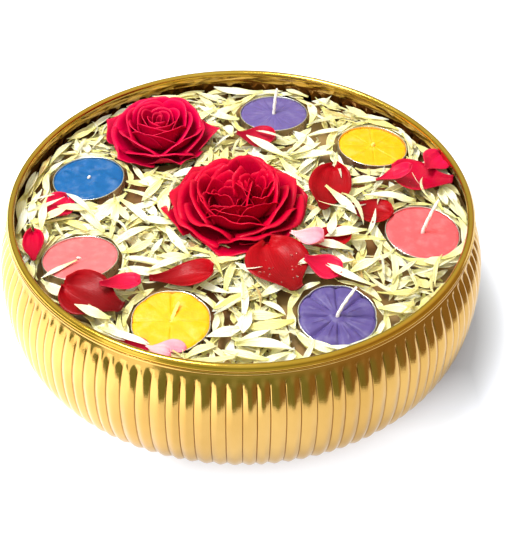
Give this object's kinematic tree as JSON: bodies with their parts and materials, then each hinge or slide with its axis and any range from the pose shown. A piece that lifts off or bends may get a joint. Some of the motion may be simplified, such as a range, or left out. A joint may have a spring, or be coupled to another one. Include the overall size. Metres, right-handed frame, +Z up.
{
  "type": "brass urli bowl",
  "caption": "Shallow round fluted brass bowl with a beaded rim, filled with water, floating petals, rose heads and floating tealight candles.",
  "frame": {"origin": "centre of the bowl's flat base, on the surface that it stands on", "axes": "+Z up out of the bowl's mouth, -Y towards the viewer, +X to the viewer's right"},
  "size_m": [0.2522, 0.2522, 0.0878],
  "materials": {
    "brass": "polished",
    "water": "clear water",
    "white_petal": "soft petal",
    "red_petal": "soft petal",
    "calyx": "leaf green",
    "aluminium": "thin bright sheet",
    "cotton": "braided wick",
    "blue_wax": "wax",
    "pink_left_wax": "wax",
    "yellow_front_wax": "wax",
    "purple_front_wax": "wax",
    "pink_right_wax": "wax",
    "yellow_back_wax": "wax",
    "purple_back_wax": "wax"
  },
  "bodies": {
    "root": {"bowl_shell": "brass", "rim_ring": "brass", "water": "water", "white_petal_layer": "white_petal", "red_petal_01": "red_petal", "red_petal_02": "red_petal", "red_petal_03": "red_petal", "red_petal_04": "red_petal", "red_petal_05": "red_petal", "red_petal_06": "red_petal", "red_petal_07": "red_petal", "red_petal_08": "red_petal", "red_petal_09": "red_petal", "red_petal_10": "red_petal", "red_petal_11": "red_petal", "red_petal_12": "red_petal"},
    "blue_tealight_cup": {"blue_tealight_cup": "aluminium"},
    "blue_tealight_block": {"blue_tealight_wax": "blue_wax", "blue_tealight_wick": "cotton", "blue_tealight_wick_tab": "aluminium"},
    "pink_left_tealight_cup": {"pink_left_tealight_cup": "aluminium"},
    "pink_left_tealight_block": {"pink_left_tealight_wax": "pink_left_wax", "pink_left_tealight_wick": "cotton", "pink_left_tealight_wick_tab": "aluminium"},
    "yellow_front_tealight_cup": {"yellow_front_tealight_cup": "aluminium"},
    "yellow_front_tealight_block": {"yellow_front_tealight_wax": "yellow_front_wax", "yellow_front_tealight_wick": "cotton", "yellow_front_tealight_wick_tab": "aluminium"},
    "purple_front_tealight_cup": {"purple_front_tealight_cup": "aluminium"},
    "purple_front_tealight_block": {"purple_front_tealight_wax": "purple_front_wax", "purple_front_tealight_wick": "cotton", "purple_front_tealight_wick_tab": "aluminium"},
    "pink_right_tealight_cup": {"pink_right_tealight_cup": "aluminium"},
    "pink_right_tealight_block": {"pink_right_tealight_wax": "pink_right_wax", "pink_right_tealight_wick": "cotton", "pink_right_tealight_wick_tab": "aluminium"},
    "yellow_back_tealight_cup": {"yellow_back_tealight_cup": "aluminium"},
    "yellow_back_tealight_block": {"yellow_back_tealight_wax": "yellow_back_wax", "yellow_back_tealight_wick": "cotton", "yellow_back_tealight_wick_tab": "aluminium"},
    "purple_back_tealight_cup": {"purple_back_tealight_cup": "aluminium"},
    "purple_back_tealight_block": {"purple_back_tealight_wax": "purple_back_wax", "purple_back_tealight_wick": "cotton", "purple_back_tealight_wick_tab": "aluminium"},
    "large_rose": {"large_rose_calyx": "calyx", "large_rose_outer_petals": "red_petal", "large_rose_inner_petals": "red_petal", "large_rose_bud": "red_petal"},
    "small_rose": {"small_rose_calyx": "calyx", "small_rose_outer_petals": "red_petal", "small_rose_inner_petals": "red_petal", "small_rose_bud": "red_petal"}
  },
  "joints": [
    {"name": "blue_tealight_lift", "type": "slide", "parent": "root", "child": "blue_tealight_cup", "axis": [0, 0, 1], "range_m": [0, 0.09]},
    {"name": "blue_wax_out_of_cup", "type": "slide", "parent": "blue_tealight_cup", "child": "blue_tealight_block", "axis": [-0.0492, 0.0179, 0.9986], "range_m": [0, 0.02]},
    {"name": "pink_left_tealight_lift", "type": "slide", "parent": "root", "child": "pink_left_tealight_cup", "axis": [0, 0, 1], "range_m": [0, 0.09]},
    {"name": "pink_left_wax_out_of_cup", "type": "slide", "parent": "pink_left_tealight_cup", "child": "pink_left_tealight_block", "axis": [-0.0417, 0.1145, 0.9925], "range_m": [0, 0.02]},
    {"name": "yellow_front_tealight_lift", "type": "slide", "parent": "root", "child": "yellow_front_tealight_cup", "axis": [0, 0, 1], "range_m": [0, 0.09]},
    {"name": "yellow_front_wax_out_of_cup", "type": "slide", "parent": "yellow_front_tealight_cup", "child": "yellow_front_tealight_block", "axis": [0, -0.1045, 0.9945], "range_m": [0, 0.02]},
    {"name": "purple_front_tealight_lift", "type": "slide", "parent": "root", "child": "purple_front_tealight_cup", "axis": [0, 0, 1], "range_m": [0, 0.09]},
    {"name": "purple_front_wax_out_of_cup", "type": "slide", "parent": "purple_front_tealight_cup", "child": "purple_front_tealight_block", "axis": [0.0242, -0.1371, 0.9903], "range_m": [0, 0.02]},
    {"name": "pink_right_tealight_lift", "type": "slide", "parent": "root", "child": "pink_right_tealight_cup", "axis": [0, 0, 1], "range_m": [0, 0.09]},
    {"name": "pink_right_wax_out_of_cup", "type": "slide", "parent": "pink_right_tealight_cup", "child": "pink_right_tealight_block", "axis": [0.056, -0.0668, 0.9962], "range_m": [0, 0.02]},
    {"name": "yellow_back_tealight_lift", "type": "slide", "parent": "root", "child": "yellow_back_tealight_cup", "axis": [0, 0, 1], "range_m": [0, 0.09]},
    {"name": "yellow_back_wax_out_of_cup", "type": "slide", "parent": "yellow_back_tealight_cup", "child": "yellow_back_tealight_block", "axis": [0.0604, 0.0349, 0.9976], "range_m": [0, 0.02]},
    {"name": "purple_back_tealight_lift", "type": "slide", "parent": "root", "child": "purple_back_tealight_cup", "axis": [0, 0, 1], "range_m": [0, 0.09]},
    {"name": "purple_back_wax_out_of_cup", "type": "slide", "parent": "purple_back_tealight_cup", "child": "purple_back_tealight_block", "axis": [-0.0076, 0.0868, 0.9962], "range_m": [0, 0.02]},
    {"name": "large_rose_lift", "type": "slide", "parent": "root", "child": "large_rose", "axis": [0, 0, 1], "range_m": [0, 0.08]},
    {"name": "small_rose_lift", "type": "slide", "parent": "root", "child": "small_rose", "axis": [0, 0, 1], "range_m": [0, 0.08]}
  ]
}
